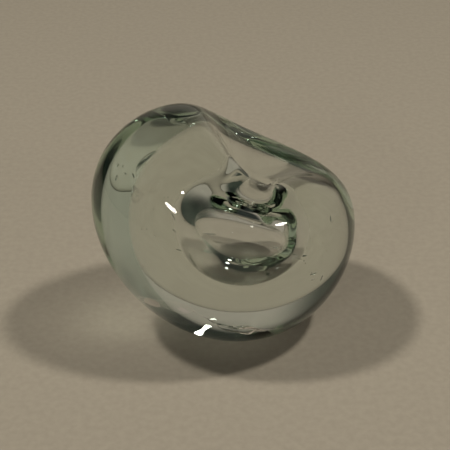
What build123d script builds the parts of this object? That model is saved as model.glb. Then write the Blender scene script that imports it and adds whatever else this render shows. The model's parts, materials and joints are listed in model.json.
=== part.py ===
from build123d import *
from math import atan2, cos, degrees, exp, pi, sin, sqrt
import os

# Freeform clear glass paperweight with one blown hollow, mm.
# Own frame before it is laid on its side: X runs from lobe to lobe,
# Y is depth (towards the back), Z comes up through the mouth.

# outer body
half_length = 47.0      # middle to the tip of a lobe
half_height = 41.0      # middle to the belly
half_depth = 34.5       # middle to the front or the back
lobe_gain = 0.09        # share by which the right lobe is fatter than the left
# cleft pressed into the top
cleft_depth = 28.0
cleft_x = 1.5
cleft_y = -8.5
cleft_length = 19.7     # spread along the lobes
cleft_width = 18.5      # spread from front to back
# knuckle of glass left standing at the front of the cleft
knuckle_height = 6.8
knuckle_x = 11.5
knuckle_y = -15.5
knuckle_length = 8.0
knuckle_width = 13.0
# blown hollow
hollow_radius = 20.0
hollow_half_height = 16.0
side_round = 8.5        # arc round the widest part
neck_radius = 7.3       # bore of the mouth
neck_round = 3.0        # arc between the hollow and the bore
neck_length = 2.0       # straight bore under the floor of the cleft
mouth_x = 0.5           # where the bore comes out in the cleft
mouth_y = -8.5
mouth_left = 12.0       # degrees its axis leans towards the left lobe
mouth_front = 10.0      # degrees its axis leans towards the front
lip_round = 1.2         # fire-polished edge of the mouth
gather_wall = 2.5       # first gather of glass, round the hollow
# how the piece lies
roll = 34.3             # left lobe up
lean = -21.3            # mouth towards the back
turn = 17.3             # left lobe towards the front
base_cut = 2.6          # glass ground off the belly to give a flat
base_ease = 0.4         # small bevel round the ground flat

SECTIONS = 15
POINTS = 28


def soft_step(t):
    t = min(max(t, 0.0), 1.0)
    return t * t * (3.0 - 2.0 * t)


def hump(x, y, length, width):
    """One at the middle, dying away smoothly over length and width."""
    return exp(-((x / length) ** 2) - (y / width) ** 2)


def skin(phi, theta):
    """Point on the body: phi runs from lobe to lobe, theta goes round."""
    fat = 1.0 + lobe_gain * sin(phi)
    x = half_length * sin(phi)
    y = half_depth * fat * cos(phi) * cos(theta)
    z = half_height * fat * cos(phi) * sin(theta)
    press = cleft_depth * hump(x - cleft_x, y - cleft_y, cleft_length, cleft_width)
    press -= knuckle_height * hump(x - knuckle_x, y - knuckle_y, knuckle_length, knuckle_width)
    upper = soft_step((z / half_height + 0.35) / 1.1)
    return Vector(x, y, z - press * upper)


def body_section(phi):
    pts = [skin(phi, 2.0 * pi * k / POINTS) for k in range(POINTS)]
    return Wire([Edge.make_spline(pts, periodic=True)])


def body():
    step = pi / (SECTIONS + 1)
    rings = [body_section(-pi / 2 + step * (k + 1)) for k in range(SECTIONS)]
    ends = Vertex(-half_length, 0, 0), Vertex(half_length, 0, 0)
    return Solid.make_loft([ends[0], *rings, ends[1]], ruled=False)


def neck_rise(wall):
    """Height over the hollow's middle where its bore, or its lining's, is straight."""
    across = neck_radius + wall + neck_round - (hollow_radius - side_round)
    return sqrt((side_round + wall + neck_round) ** 2 - across ** 2)


def hollow_place():
    """The hollow hangs by its neck from the floor of the cleft, about square to it."""
    floor = Pos(mouth_x, mouth_y, half_height - cleft_depth)
    drop = neck_length + neck_rise(0.0)
    return floor * Rot(mouth_front, 0, 0) * Rot(0, -mouth_left, 0) * Pos(0, 0, -drop)


def bulb(wall):
    """The hollow, or with a wall the gather of glass that lines it."""
    side_x = hollow_radius - side_round
    bore = neck_radius + wall
    rise = neck_rise(wall)
    sag = hollow_half_height - side_round
    bowl_z = (side_x ** 2 - sag ** 2) / (2.0 * sag)
    bowl_radius = bowl_z + hollow_half_height + wall
    low = degrees(atan2(-bowl_z, side_x))
    high = degrees(atan2(rise, bore + neck_round - side_x))
    bowl = CenterArc((0, bowl_z), bowl_radius, -90, 90 + low)
    side = CenterArc((side_x, 0), side_round + wall, low, high - low)
    neck = CenterArc((bore + neck_round, rise), neck_round, 180 + high, -high)
    top = half_height + 3.0 * hollow_radius
    rest = Polyline(neck @ 1, (bore, top), (0, top), bowl @ 0)
    face = Plane.XZ * make_face([bowl, side, neck, *rest.edges()])
    return hollow_place() * revolve(face, Axis.Z, 360)


def lay_down(shape):
    """Turn a shape the way the finished piece lies on its flat."""
    for turned in (Rot(0, roll, 0), Rot(lean, 0, 0), Rot(0, 0, turn)):
        shape = turned * shape
    return shape


def grind_base(shape):
    """Take the belly off flat and ease the edge that is left."""
    low = shape.bounding_box().min.Z + base_cut
    big = 10.0 * half_length
    flat = shape - Pos(0, 0, low - big / 2) * Box(big, big, big)
    face = flat.faces().sort_by(Axis.Z)[0]
    return chamfer(face.edges(), base_ease)


def polish_mouth(gather):
    """Round the sharp edge where the bore comes out of the glass."""
    mouth = lay_down(Pos(mouth_x, mouth_y, half_height) * Vertex(0, 0, 0)).center()
    widest = 2.0 * pi * (neck_radius + gather_wall / 2.0)
    rings = gather.edges().filter_by(lambda e: e.is_closed and e.length < 1.1 * widest)
    return fillet(rings.sort_by(lambda e: (e.center() - mouth).length)[:1], lip_round)


def build():
    solid = grind_base(lay_down(body()))
    lining = lay_down(bulb(gather_wall))
    casing = solid - lining
    gather = polish_mouth((solid & lining) - lay_down(bulb(0.0)))
    box = solid.bounding_box()
    home = Pos(-box.center().X, -box.center().Y, -box.min.Z)
    return {"outer_casing": home * casing, "inner_gather": home * gather}


os.makedirs("parts", exist_ok=True)
for name, part in build().items():
    export_step(part, "parts/" + name + ".step")
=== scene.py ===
import json
import random
from math import atan2, cos, pi, radians, sin, sqrt

import bpy
from mathutils import Matrix, Vector


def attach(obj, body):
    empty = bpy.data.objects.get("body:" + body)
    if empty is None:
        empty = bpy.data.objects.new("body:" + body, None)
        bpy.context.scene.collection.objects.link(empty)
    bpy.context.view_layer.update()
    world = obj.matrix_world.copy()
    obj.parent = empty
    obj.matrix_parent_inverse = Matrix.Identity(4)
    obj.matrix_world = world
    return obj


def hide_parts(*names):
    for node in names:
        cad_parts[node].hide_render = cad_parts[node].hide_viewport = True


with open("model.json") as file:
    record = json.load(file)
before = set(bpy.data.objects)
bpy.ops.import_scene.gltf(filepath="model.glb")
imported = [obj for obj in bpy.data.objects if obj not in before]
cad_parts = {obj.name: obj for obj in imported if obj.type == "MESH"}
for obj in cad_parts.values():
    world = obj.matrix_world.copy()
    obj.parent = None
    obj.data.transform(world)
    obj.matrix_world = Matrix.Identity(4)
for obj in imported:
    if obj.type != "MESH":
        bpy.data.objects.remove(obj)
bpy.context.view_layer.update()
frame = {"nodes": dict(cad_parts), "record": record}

MM = 0.001

# blown hollow, the same sizes as the solids have, but for a slightly fuller lip
HOLLOW_RADIUS = 20.0 * MM
HOLLOW_HALF_HEIGHT = 16.0 * MM
SIDE_ROUND = 8.5 * MM         # arc round the widest part
NECK_RADIUS = 7.3 * MM
NECK_ROUND = 3.0 * MM         # arc between the hollow and the bore
NECK_LENGTH = 2.0 * MM        # straight bore under the floor of the cleft
LIP = 1.6 * MM                # fire-polished round of the mouth, 1.2 on the solid
GATHER_WALL = 2.5 * MM        # first gather of glass, round the hollow

SIDES = 64                    # vertices round the mouth's axis


def neck_rise():
    """Height over the hollow's middle where its bore is straight."""
    across = NECK_RADIUS + NECK_ROUND - (HOLLOW_RADIUS - SIDE_ROUND)
    return sqrt((SIDE_ROUND + NECK_ROUND) ** 2 - across ** 2)


mounts = {m["name"]: m for m in frame["record"]["mounts"]}
MOUTH = Vector(mounts["mouth"]["pos_m"])
UP = Vector(mounts["mouth"]["axis"]).normalized()
DROP = NECK_LENGTH + neck_rise()
MIDDLE = MOUTH - UP * DROP    # middle of the hollow
UPRIGHT = UP.to_track_quat("Z", "Y").to_matrix().to_4x4()


# ---------- helpers ----------

def clear():
    if bpy.context.mode != "OBJECT":
        bpy.ops.object.mode_set(mode="OBJECT")
    bpy.ops.object.select_all(action="DESELECT")


def pick(obj):
    clear()
    obj.select_set(True)
    bpy.context.view_layer.objects.active = obj
    return obj


def edit(obj, kind="VERT", action="DESELECT"):
    pick(obj)
    bpy.ops.object.mode_set(mode="EDIT")
    bpy.ops.mesh.select_mode(type=kind)
    bpy.ops.mesh.select_all(action=action)


def mark(obj, test):
    """Select the vertices that pass a test of place."""
    edit(obj)
    bpy.ops.object.mode_set(mode="OBJECT")
    for v in obj.data.vertices:
        v.select = test(v.co)
    bpy.ops.object.mode_set(mode="EDIT")


def mark_open_edges():
    """Select the vertices and edges on the rim of a mesh that isn't closed."""
    bpy.ops.mesh.select_non_manifold(extend=False, use_wire=False, use_boundary=True,
                                     use_multi_face=False, use_non_contiguous=False, use_verts=False)


def join(first, *others):
    pick(first)
    for obj in others:
        obj.select_set(True)
    bpy.ops.object.join()
    return bpy.context.object


def apply_all(obj):
    pick(obj)
    for modifier in list(obj.modifiers):
        bpy.ops.object.modifier_apply(modifier=modifier.name)


def settle(obj):
    """Put the object's place into its mesh."""
    pick(obj)
    bpy.ops.object.transform_apply(location=True, rotation=True, scale=True)
    return obj


def over_mouth(height):
    """Place a shape made upright at the origin on the mouth's axis, over the hollow's middle."""
    return Matrix.Translation(MIDDLE + UP * height) @ UPRIGHT


def grow(radius, steps):
    """Extrude the selected loop down a list of (radius, fall) steps."""
    for wide, fall in steps:
        bpy.ops.mesh.extrude_edges_move()
        bpy.ops.transform.translate(value=(0, 0, -fall))
        share = wide / radius
        bpy.ops.transform.resize(value=(share, share, 1), center_override=(0, 0, 0))
        radius = wide


def wrap(obj, target, method, **settings):
    modifier = obj.modifiers.new("wrap", "SHRINKWRAP")
    modifier.target = target
    modifier.wrap_method = method
    modifier.cull_face = "OFF"
    for name, value in settings.items():
        setattr(modifier, name, value)
    apply_all(obj)


def copy_of(names):
    """Merged copy of some of the solids, for the glass to be drawn on to."""
    copies = []
    for name in names:
        copy = frame["nodes"][name].copy()
        copy.data = copy.data.copy()
        bpy.context.scene.collection.objects.link(copy)
        copies.append(copy)
    target = join(*copies)
    edit(target, action="SELECT")
    bpy.ops.mesh.remove_doubles(threshold=0.01 * MM)
    bpy.ops.object.mode_set(mode="OBJECT")
    return target


# ---------- glass body ----------

def outer_skin(target):
    """Sphere round the piece, open at the mouth, shrunk on to the outside of the solids."""
    size = 62 * MM            # clears the piece on every side
    rings = 40
    mouth_ring, far_ring = 8, rings - 7    # the sphere's caps are cut off at these rings
    clear()
    bpy.ops.mesh.primitive_uv_sphere_add(segments=SIDES, ring_count=rings, radius=size, location=(0, 0, 0))
    skin = bpy.context.object
    step = pi / rings
    low = size * cos(far_ring * step)
    mark(skin, lambda co: co.z > size * cos((mouth_ring - 0.5) * step) or co.z < low - 1e-7)
    bpy.ops.mesh.delete(type="VERT")
    mark(skin, lambda co: co.z < low + 1e-7)
    bpy.ops.mesh.select_mode(type="EDGE")
    bpy.ops.mesh.fill_grid(span=SIDES // 4)
    bpy.ops.mesh.select_all(action="SELECT")
    bpy.ops.mesh.normals_make_consistent(inside=False)
    bpy.ops.object.mode_set(mode="OBJECT")
    skin.matrix_world = over_mouth(0.0)
    settle(skin)
    wrap(skin, target, "PROJECT", use_negative_direction=True, use_positive_direction=False)
    return skin


def lip_ring(target):
    """Ring that lies on the cleft's floor round the mouth."""
    high = 60 * MM            # starts well over the cleft
    clear()
    bpy.ops.mesh.primitive_circle_add(vertices=SIDES, radius=NECK_RADIUS + LIP, location=(0, 0, 0))
    ring = bpy.context.object
    ring.matrix_world = over_mouth(high)
    wrap(ring, target, "PROJECT", use_project_z=True, use_negative_direction=True,
         use_positive_direction=False)
    return ring


def bridge(obj, cuts):
    """Bridge the two open loops of a mesh smoothly."""
    edit(obj, "EDGE")
    bpy.ops.mesh.select_non_manifold(extend=False, use_wire=True, use_boundary=True,
                                     use_multi_face=False, use_non_contiguous=False, use_verts=False)
    bpy.ops.mesh.bridge_edge_loops(type="SINGLE", number_cuts=cuts, interpolation="SURFACE", smoothness=1.0)
    bpy.ops.object.mode_set(mode="OBJECT")


def relax(skin, target, rounds):
    """Even out the mesh along the surface, with the open edge held."""
    for _ in range(rounds):
        edit(skin)
        mark_open_edges()
        bpy.ops.mesh.select_all(action="INVERT")
        bpy.ops.mesh.vertices_smooth(factor=0.5, repeat=3)
        bpy.ops.object.mode_set(mode="OBJECT")
        wrap(skin, target, "PROJECT", use_negative_direction=True, use_positive_direction=True,
             project_limit=4 * MM)


def roll_lip(skin):
    """Turn the open edge at the mouth over into the bore in a quarter round."""
    quarter = 4               # steps in a quarter round
    skin.matrix_world = over_mouth(0.0).inverted()
    settle(skin)
    edit(skin, "EDGE")
    mark_open_edges()
    turns = [pi / 2 * (k + 1) / quarter for k in range(quarter)]
    wide = [NECK_RADIUS + LIP * (1 - sin(a)) for a in turns]
    deep = [0.0] + [LIP * (1 - cos(a)) for a in turns]
    grow(NECK_RADIUS + LIP, [(w, deep[k + 1] - deep[k]) for k, w in enumerate(wide)])
    bpy.ops.object.mode_set(mode="OBJECT")
    skin.matrix_world = over_mouth(0.0)
    settle(skin)


def outline():
    """Hollow's outline from its neck down to its bowl, as (radius, height) of each ring."""
    side_x = HOLLOW_RADIUS - SIDE_ROUND
    rise = neck_rise()
    sag = HOLLOW_HALF_HEIGHT - SIDE_ROUND
    bowl_z = (side_x ** 2 - sag ** 2) / (2 * sag)
    bowl = bowl_z + HOLLOW_HALF_HEIGHT
    low = atan2(-bowl_z, side_x)
    high = atan2(rise, NECK_RADIUS + NECK_ROUND - side_x)
    cap = radians(-62)        # below this the bowl is closed with a grid
    arcs = [(NECK_RADIUS + NECK_ROUND, rise, NECK_ROUND, pi, pi + high, 5),
            (side_x, 0.0, SIDE_ROUND, high, low, 9),
            (0.0, bowl_z, bowl, low, cap, 5)]
    points = []
    for x, z, radius, start, end, count in arcs:
        for k in range(count + 1):
            a = start + (end - start) * k / count
            points.append((x + radius * cos(a), z + radius * sin(a)))
    return [p for k, p in enumerate(points) if k == 0 or (Vector(p) - Vector(points[k - 1])).length > 1e-6]


def hollow_skin(target):
    """Neck, side and bowl of the hollow, grown ring by ring from its neck."""
    points = outline()
    start, height = points[0]
    clear()
    bpy.ops.mesh.primitive_circle_add(vertices=SIDES, radius=start, location=(0, 0, height))
    hollow = bpy.context.object
    edit(hollow, "EDGE", "SELECT")
    falls = [points[k][1] - points[k + 1][1] for k in range(len(points) - 1)]
    grow(start, [(p[0], falls[k]) for k, p in enumerate(points[1:])])
    bpy.ops.mesh.fill_grid(span=SIDES // 4)
    bpy.ops.mesh.select_all(action="SELECT")
    bpy.ops.mesh.normals_make_consistent(inside=False)
    bpy.ops.object.mode_set(mode="OBJECT")
    settle(hollow)
    hollow.matrix_world = over_mouth(0.0)
    settle(hollow)
    wrap(hollow, target, "NEAREST_SURFACEPOINT")
    return hollow


def smooth_out(obj, levels):
    modifier = obj.modifiers.new("subdivision", "SUBSURF")
    modifier.levels = modifier.render_levels = levels
    apply_all(obj)
    edit(obj, action="SELECT")
    bpy.ops.mesh.normals_make_consistent(inside=False)
    bpy.ops.object.mode_set(mode="OBJECT")


def grind_base(body):
    """Grind the belly flat a little above its lowest point and stand it just clear of the ground."""
    shave = 0.12 * MM
    clear_of_ground = 0.05 * MM
    edit(body, action="SELECT")
    bpy.ops.mesh.bisect(plane_co=(0, 0, shave), plane_no=(0, 0, 1), use_fill=True,
                        clear_inner=True, threshold=1e-6)
    bpy.ops.object.mode_set(mode="OBJECT")
    body.location.z = clear_of_ground - shave
    settle(body)


def glass_body():
    solids = copy_of(("outer_casing", "inner_gather"))
    gather = copy_of(("inner_gather",))
    skin = join(outer_skin(solids), settle(lip_ring(solids)))
    bridge(skin, 2)
    edit(skin, action="SELECT")
    bpy.ops.mesh.normals_make_consistent(inside=False)
    bpy.ops.object.mode_set(mode="OBJECT")
    relax(skin, solids, 4)
    roll_lip(skin)
    body = join(skin, hollow_skin(gather))
    bridge(body, 1)
    for done in (solids, gather):
        bpy.data.objects.remove(done)
    smooth_out(body, 2)
    grind_base(body)
    body.name = "outer_casing_glass"
    pick(body)
    bpy.ops.object.shade_smooth_by_angle(angle=radians(12))
    return body


def deep_inside(body, place, cover):
    """Whether a place has at least so much glass over it on every side."""
    found, nearest, normal, _ = body.closest_point_on_mesh(place)
    return found and (nearest - place).dot(normal) > cover


def drawn_seeds(body):
    """Tiny bubbles left in the glass round the hollow, about half of them drawn out."""
    chance = random.Random(7)
    seeds = []
    for _ in range(40):
        angle = chance.uniform(0, 2 * pi)
        away = HOLLOW_RADIUS + GATHER_WALL + chance.uniform(1.0, 5.0) * MM
        height = chance.uniform(-10.0, 4.0) * MM
        thick = chance.uniform(0.10, 0.22) * MM
        length = thick * chance.choice((1.0, 1.3, 6.0, 12.0))
        where = Matrix.Translation((away * cos(angle), away * sin(angle), height))
        along = Matrix.Rotation(angle, 4, "Z") @ Matrix.Rotation(chance.uniform(-0.5, 0.5), 4, "X")
        if not deep_inside(body, (over_mouth(0.0) @ where).translation, length + 0.4 * MM):
            continue
        clear()
        bpy.ops.mesh.primitive_ico_sphere_add(subdivisions=2, radius=1.0, location=(0, 0, 0))
        seed = bpy.context.object
        seed.matrix_world = over_mouth(0.0) @ where @ along @ Matrix.Diagonal((thick, length, thick, 1))
        seeds.append(settle(seed))
    seeds = join(*seeds)
    seeds.name = "drawn_seeds"
    edit(seeds, action="SELECT")
    bpy.ops.mesh.normals_make_consistent(inside=False)
    bpy.ops.object.mode_set(mode="OBJECT")
    bpy.ops.object.shade_smooth()
    return seeds


# ---------- materials ----------

def noise(nodes, links, place, scale, detail):
    """Noise in the object's own coordinates."""
    texture = nodes.new("ShaderNodeTexNoise")
    texture.inputs["Scale"].default_value = scale
    texture.inputs["Detail"].default_value = detail
    links.new(place.outputs["Object"], texture.inputs["Vector"])
    return texture


def spread(nodes, links, value, start, end, low, high):
    """Map a value's range from start to end on to low to high."""
    node = nodes.new("ShaderNodeMapRange")
    node.interpolation_type = "SMOOTHSTEP"
    for name, number in (("From Min", start), ("From Max", end), ("To Min", low), ("To Max", high)):
        node.inputs[name].default_value = number
    links.new(value, node.inputs["Value"])
    return node


def add(nodes, links, first, second):
    node = nodes.new("ShaderNodeMath")
    node.operation = "ADD"
    links.new(first, node.inputs[0])
    links.new(second, node.inputs[1])
    return node


def glass(name):
    """Hand-worked clear glass: a slow waviness, faint smudges, and a base polished less finely."""
    material = bpy.data.materials.new(name)
    material.use_nodes = True
    nodes, links = material.node_tree.nodes, material.node_tree.links
    shader = nodes["Principled BSDF"]
    shader.inputs["Base Color"].default_value = (1, 1, 1, 1)
    shader.inputs["IOR"].default_value = 1.52
    shader.inputs["Transmission Weight"].default_value = 1.0
    place = nodes.new("ShaderNodeTexCoord")
    split = nodes.new("ShaderNodeSeparateXYZ")
    links.new(place.outputs["Object"], split.inputs[0])
    smudge = noise(nodes, links, place, 55.0, 5.0)
    smudges = spread(nodes, links, smudge.outputs["Fac"], 0.60, 0.80, 0.0, 0.035)
    base = spread(nodes, links, split.outputs["Z"], 0.02 * MM, 0.30 * MM, 0.10, 0.0)
    rough = add(nodes, links, smudges.outputs[0], base.outputs[0])
    links.new(rough.outputs[0], shader.inputs["Roughness"])
    wave = noise(nodes, links, place, 38.0, 2.0)
    bump = nodes.new("ShaderNodeBump")
    bump.inputs["Strength"].default_value = 0.12
    bump.inputs["Distance"].default_value = 0.25 * MM
    links.new(wave.outputs["Fac"], bump.inputs["Height"])
    links.new(bump.outputs[0], shader.inputs["Normal"])
    tint = nodes.new("ShaderNodeVolumeAbsorption")
    tint.inputs["Color"].default_value = (0.79, 0.87, 0.80, 1)
    tint.inputs["Density"].default_value = 15.0
    links.new(tint.outputs[0], nodes["Material Output"].inputs["Volume"])
    return material


def trapped_air(name):
    """Air shut in the glass, so its index is one over the glass's."""
    material = bpy.data.materials.new(name)
    material.use_nodes = True
    nodes, links = material.node_tree.nodes, material.node_tree.links
    nodes.remove(nodes["Principled BSDF"])
    shader = nodes.new("ShaderNodeBsdfGlass")
    shader.inputs["IOR"].default_value = 1 / 1.52
    place = nodes.new("ShaderNodeTexCoord")
    grain = noise(nodes, links, place, 900.0, 3.0)
    rough = spread(nodes, links, grain.outputs["Fac"], 0.4, 0.7, 0.0, 0.06)
    links.new(rough.outputs[0], shader.inputs["Roughness"])
    links.new(shader.outputs[0], nodes["Material Output"].inputs["Surface"])
    return material


def matte(name, colour):
    """Painted board with a faint fine grain."""
    material = bpy.data.materials.new(name)
    material.use_nodes = True
    nodes, links = material.node_tree.nodes, material.node_tree.links
    shader = nodes["Principled BSDF"]
    shader.inputs["Roughness"].default_value = 0.6
    place = nodes.new("ShaderNodeTexCoord")
    grain = noise(nodes, links, place, 420.0, 6.0)
    ramp = nodes.new("ShaderNodeValToRGB")
    low, high = ramp.color_ramp.elements
    low.position, low.color = 0.35, (*[0.955 * c for c in colour], 1)
    high.position, high.color = 0.65, (*[1.045 * c for c in colour], 1)
    links.new(grain.outputs["Fac"], ramp.inputs["Fac"])
    links.new(ramp.outputs["Color"], shader.inputs["Base Color"])
    return material


# ---------- studio ----------

def studio():
    clear()
    bpy.ops.mesh.primitive_plane_add(size=3.0, location=(0, 0, 0))
    floor = bpy.context.object
    floor.name = "floor"
    floor.data.materials.append(matte("pale floor", (0.34, 0.30, 0.235)))
    room_light()
    for side in (-1, 1):
        lamp("overhead lamp", (side * 0.55, 0.05, 1.05), (0.12, 0.12), 6.5, glossy=False, through=side > 0)
    lamp("left lamp", (-0.517, -1.0, 0.590), (0.22, 0.07), 1.0, turn=radians(-35), through=False)
    lamp("right lamp", (0.92, -0.69, 0.486), (0.20, 0.07), 1.0, through=False)
    lamp("glint lamp", (-0.30, -0.9, 0.9), (0.06, 0.06), 0.35)


def room_light():
    """Room round the table: light walls, a dimmer ceiling, and one dark side."""
    world = bpy.data.worlds.new("studio")
    bpy.context.scene.world = world
    world.use_nodes = True
    nodes, links = world.node_tree.nodes, world.node_tree.links
    towards = nodes.new("ShaderNodeTexCoord")
    split = nodes.new("ShaderNodeSeparateXYZ")
    links.new(towards.outputs["Generated"], split.inputs[0])
    walls = ramp(nodes, links, split.outputs["Z"], (0.22, (0.31, 0.275, 0.22)), (0.66, (0.02, 0.024, 0.021)))
    across = spread(nodes, links, split.outputs["X"], -1.0, 1.0, 0.0, 1.0)
    side = ramp(nodes, links, across.outputs[0], (0.05, (0.12, 0.16, 0.15)), (0.40, (1, 1, 1)))
    both = nodes.new("ShaderNodeVectorMath")
    both.operation = "MULTIPLY"
    links.new(walls.outputs["Color"], both.inputs[0])
    links.new(side.outputs["Color"], both.inputs[1])
    links.new(both.outputs[0], nodes["Background"].inputs["Color"])


def ramp(nodes, links, value, low, high):
    """Colour that goes smoothly from one (place, colour) to another."""
    node = nodes.new("ShaderNodeValToRGB")
    node.color_ramp.interpolation = "EASE"
    for end, (place, colour) in zip(node.color_ramp.elements, (low, high)):
        end.position, end.color = place, (*colour, 1)
    links.new(value, node.inputs["Fac"])
    return node


def lamp(name, place, size, power, glossy=True, through=True, turn=0.0):
    """Soft lamp aimed at the piece. It may be kept out of reflections, or of rays through the glass."""
    data = bpy.data.lights.new(name, "AREA")
    data.shape = "ELLIPSE"
    data.size, data.size_y = size
    data.energy = power
    data.color = (1, 0.96, 0.9)
    light = bpy.data.objects.new(name, data)
    bpy.context.scene.collection.objects.link(light)
    light.location = place
    aim = (Vector((0, 0, 0.04)) - Vector(place)).to_track_quat("-Z", "Y")
    light.rotation_euler = (aim.to_matrix() @ Matrix.Rotation(turn, 3, "Z")).to_euler()
    light.visible_glossy = glossy
    light.visible_transmission = through


def camera():
    data = bpy.data.cameras.new("camera")
    view = bpy.data.objects.new("camera", data)
    bpy.context.scene.collection.objects.link(view)
    bpy.context.scene.camera = view
    data.sensor_width = 36
    data.lens = 92
    data.clip_start = 0.01
    height = radians(33)
    distance = 0.3945
    aim = Vector((0.0, 0.0, 0.0371))
    back = Vector((0, -cos(height), sin(height)))
    view.location = aim + back * distance
    view.rotation_euler = (-back).to_track_quat("-Z", "Y").to_euler()


camera()
body = glass_body()
body.data.materials.clear()
body.data.materials.append(glass("casing glass"))
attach(body, "root")
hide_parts("outer_casing", "inner_gather")
seeds = drawn_seeds(body)
seeds.data.materials.clear()
seeds.data.materials.append(trapped_air("trapped air"))
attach(seeds, "root")
studio()

scene = bpy.context.scene
scene.view_settings.view_transform = "Standard"
scene.cycles.max_bounces = 24
scene.cycles.transmission_bounces = 20
scene.cycles.glossy_bounces = 12
